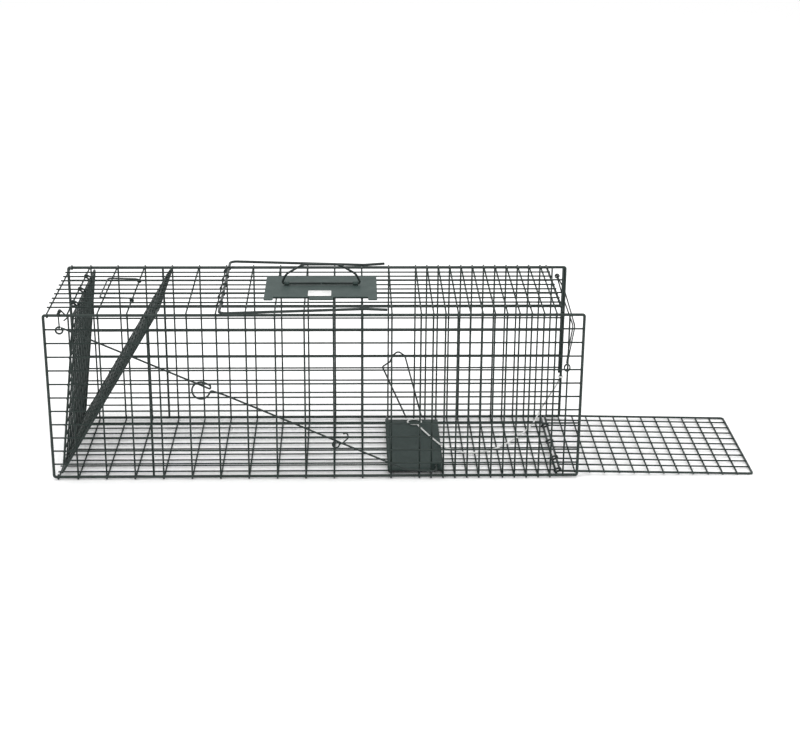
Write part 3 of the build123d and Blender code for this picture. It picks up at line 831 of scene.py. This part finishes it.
def bait_wires():
    """The bent bait hook, and beside it the wire whose top bends over to meet the hook's tip."""
    y = W - 8
    points = [at(659, y, BAIT_FOOT_Z), at(626, y, 132.5), at(613, y, 142.5), at(603.5, y, 134.5),
              at(597, y, 120)]
    wire_piece("bait_hook_wire", [rounded_path(points, 7 * MM, 8)], BAIT_R, DARK_ROD, "cage",
               "wire", "bait_hook", sides=12)
    y = W - 12
    points = [at(629.5, y, BAIT_FOOT_Z), at(583, y, 112.5), at(597, y, 122)]
    wire_piece("bait_arm_wire", [rounded_path(points, 4 * MM, 8)], BAIT_R, DARK_ROD, "cage",
               "wire", "bait_arm", sides=12)


# ---------------------------------------------------------------- cord

# The free string runs from the far rear rod to the treadle. Its tail lies on the treadle.
CORD_ROUTE = [
    (925, W + 5.6, 84), (919, W + 6.2, 67), (909, W + 7.0, 51), (901, W + 7.6, 36),
    (891, W + 1.5, 22), (882, W - 13, 12), (871, W - 40, CORD_Z), (855, 202, CORD_Z),
    (828, 158, CORD_Z), (793, 116, CORD_Z), (757, 96, CORD_Z), (724, 93, CORD_Z + 1),
    (699, 106, 11.8),
]
TAIL_ROUTE = [(698.1, 106.9, 11.85), (689, 121, TAIL_Z), (678, 147, TAIL_Z), (665, 177, TAIL_Z),
              (649.6, 219.6, TAIL_Z)]


def cord_line(name, route, body, node_name):
    """A string drawn as a smooth curve along a route, on its body, in place of its CAD node."""
    curve = bpy.data.curves.new(name, "CURVE")
    curve.dimensions = "3D"
    spline = curve.splines.new("NURBS")
    spline.points.add(len(route) - 1)
    for point, place in zip(spline.points, route):
        point.co = (*at(*place), 1.0)
    spline.order_u = 3
    spline.use_endpoint_u = True
    spline.resolution_u = 10
    curve.bevel_depth = CORD_R
    curve.bevel_resolution = 5
    curve.use_fill_caps = True
    curve.materials.append(STRING)
    line = bpy.data.objects.new(name, curve)
    bpy.context.collection.objects.link(line)
    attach(line, body)
    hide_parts(node_name)
    return line


def string_loop(name, centre, radius, body, node_name):
    """A loop of string lying flat."""
    bm = bmesh.new()
    tube(bm, circle_points(centre, radius, X, Y, 0, 360, 28)[:-1], CORD_R, 10, closed=True)
    return piece(name, finished(bm, name), STRING, body, "cord", node_name)


def knot(name, centre, body, node_name):
    """The cord's knot, drawn as two close turns round an upright rod."""
    bm = bmesh.new()
    radius = BORDER_R + CORD_R
    path = []
    for k in range(49):
        turn = 2 * math.pi * k / 24 + math.pi / 2
        lift = (k / 48 - 0.5) * 0.6 * MM
        path.append(centre + Vector((radius * math.cos(turn), radius * math.sin(turn), lift)))
    tube(bm, path, CORD_R * 0.98, 10)
    return piece(name, finished(bm, name), STRING, body, "cord", node_name)


# ---------------------------------------------------------------- build

make_camera()
make_stage()

cord = cord_line("cord_string", CORD_ROUTE, "cage", "cord")
cord_knot = knot("cord_tie", at(925, W, 87), "cage", "cord_knot")
tail = cord_line("tail_string", TAIL_ROUTE, "pedal", "cord_tail")
tail_loop = string_loop("tail_loop", at(644, 234.5, TAIL_Z), 13 * MM, "pedal", "cord_tail_loop")

side_wall("near_side", NEAR_Y, -1, [(STIFFENER_X, BOTTOM_Z)])
side_wall("far_side", FAR_Y, 1, [(STIFFENER_X, BOTTOM_Z), (LATCH_POST_X, LATCH_POST_LOW_Z)])
deck("floor_grid", FLOOR_WIRE_Z * MM, FLOOR_LONG_Z * MM, BOTTOM_Z, "floor_mesh")
deck("roof_grid", ROOF_WIRE_Z * MM, ROOF_LONG_Z * MM, TOP_Z, "roof_mesh")
end_rod("roof_rear_rod")
end_rod("floor_rear_rod")

front_rows = [(12.45 + 24.87 * k) * MM for k in range(13)]
gate_rows = [(29.0 + 25.2 * k) * MM for k in range(10)]
rear_rows = [REAR_LENGTH / 13 * k * MM for k in range(1, 13)]
Leaf(FRONT_HINGE, FRONT_SLOPE, -1).build("front_door", FRONT_LENGTH * MM, 11, front_rows)
Leaf(GATE_HINGE, GATE_SLOPE, -1).build("lock_gate", GATE_LENGTH * MM, 11, gate_rows)
Leaf(REAR_HINGE, REAR_SLOPE, 1).build("rear_door", REAR_LENGTH * MM, 10, rear_rows)

lanes = [LANE_PITCH / MM * (k + 0.5) for k in range(LANES)]
roof_wires = [((x - FRONT_X) / MM, ROOF_WIRE_Z) for x in CROSS_X]
hinge_coils("front_door_rings", roof_wires[3], WIRE_R, FRONT_HINGE, DOOR_ROD_R, lanes[1:10])
hinge_coils("lock_gate_rings", roof_wires[0], WIRE_R, GATE_HINGE, DOOR_ROD_R, lanes[2:9:3])
hinge_coils("top_bail_rings", roof_wires[5], WIRE_R, TOP_BAIL_BAR, TOP_BAIL_R, lanes[1:10:2])
hinge_coils("rear_door_rings", REAR_HINGE_ROD, END_ROD_R, REAR_HINGE, DOOR_ROD_R,
            REAR_HINGE_LANES)

top_bail()
front_bail()
handle()
treadle()
trigger_rod()
front_catch()
rear_latch()
bait_wires()
